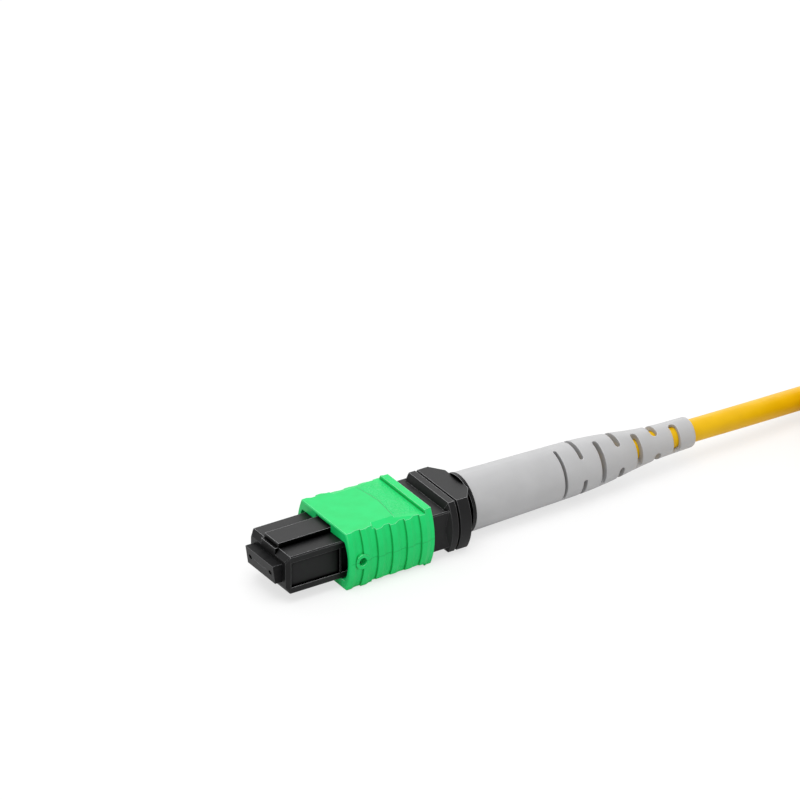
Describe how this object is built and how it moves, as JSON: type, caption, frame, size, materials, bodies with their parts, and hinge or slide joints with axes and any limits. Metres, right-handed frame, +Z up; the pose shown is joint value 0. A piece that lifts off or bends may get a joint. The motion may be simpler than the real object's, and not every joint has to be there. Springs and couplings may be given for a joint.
{
  "type": "mpo fibre connector",
  "caption": "Female multi-fibre push-on plug with an angled ferrule, push-pull sleeve and slotted bend boot, on a round cable folded into a tied hank.",
  "frame": {"origin": "middle of the plug's length and width, at the underside of the push-pull sleeve", "axes": "+X from the ferrule face back along the fibre axis to the cable, +Z up through the key, +Y to the left seen from the cable end"},
  "size_m": [0.1358, 0.0299, 0.0133],
  "materials": {
    "green_plastic": "satin moulded",
    "black_plastic": "satin moulded",
    "black_composite": "glass-filled, fine satin",
    "black_rubber": "matt",
    "grey_elastomer": "soft matt",
    "yellow_jacket": "satin extruded",
    "spring_steel": "drawn wire",
    "crimp_metal": "crimped, satin",
    "aramid": "loose yarn",
    "epoxy": "cured amber",
    "tie_fabric": "woven strap",
    "coating_blue": "thin lacquer",
    "coating_orange": "thin lacquer",
    "coating_green": "thin lacquer",
    "coating_brown": "thin lacquer",
    "coating_grey": "thin lacquer",
    "coating_white": "thin lacquer",
    "coating_red": "thin lacquer",
    "coating_black": "thin lacquer",
    "coating_yellow": "thin lacquer",
    "coating_violet": "thin lacquer",
    "coating_rose": "thin lacquer",
    "coating_aqua": "thin lacquer"
  },
  "bodies": {
    "plug": {"inner_housing": "black_plastic", "spring_push": "black_plastic", "ferrule_spring": "spring_steel", "coupling_spring_left": "spring_steel", "coupling_spring_right": "spring_steel", "crimp_ring": "crimp_metal", "aramid_yarn": "aramid", "jacket_end": "yellow_jacket", "boot": "grey_elastomer", "cable_run": "yellow_jacket", "cable_hank": "yellow_jacket", "hank_tie": "tie_fabric"},
    "ferrule_group": {"ferrule": "black_composite", "window_epoxy": "epoxy", "ferrule_boot": "black_rubber", "pin_keeper": "black_composite", "fibre_01_blue": "coating_blue", "fibre_02_orange": "coating_orange", "fibre_03_green": "coating_green", "fibre_04_brown": "coating_brown", "fibre_05_grey": "coating_grey", "fibre_06_white": "coating_white", "fibre_07_red": "coating_red", "fibre_08_black": "coating_black", "fibre_09_yellow": "coating_yellow", "fibre_10_violet": "coating_violet", "fibre_11_rose": "coating_rose", "fibre_12_aqua": "coating_aqua"},
    "sleeve": {"coupling_sleeve": "green_plastic"}
  },
  "joints": [
    {"name": "ferrule_float", "type": "slide", "parent": "plug", "child": "ferrule_group", "axis": [1, 0, 0], "range_m": [0, 0.0008], "stiffness_N_per_m": 2500, "springref_m": -0.003, "deforming": ["ferrule_spring"]},
    {"name": "sleeve_slide", "type": "slide", "parent": "plug", "child": "sleeve", "axis": [1, 0, 0], "range_m": [0, 0.0022], "stiffness_N_per_m": 400, "springref_m": -0.005, "deforming": ["coupling_spring_left", "coupling_spring_right"]}
  ]
}
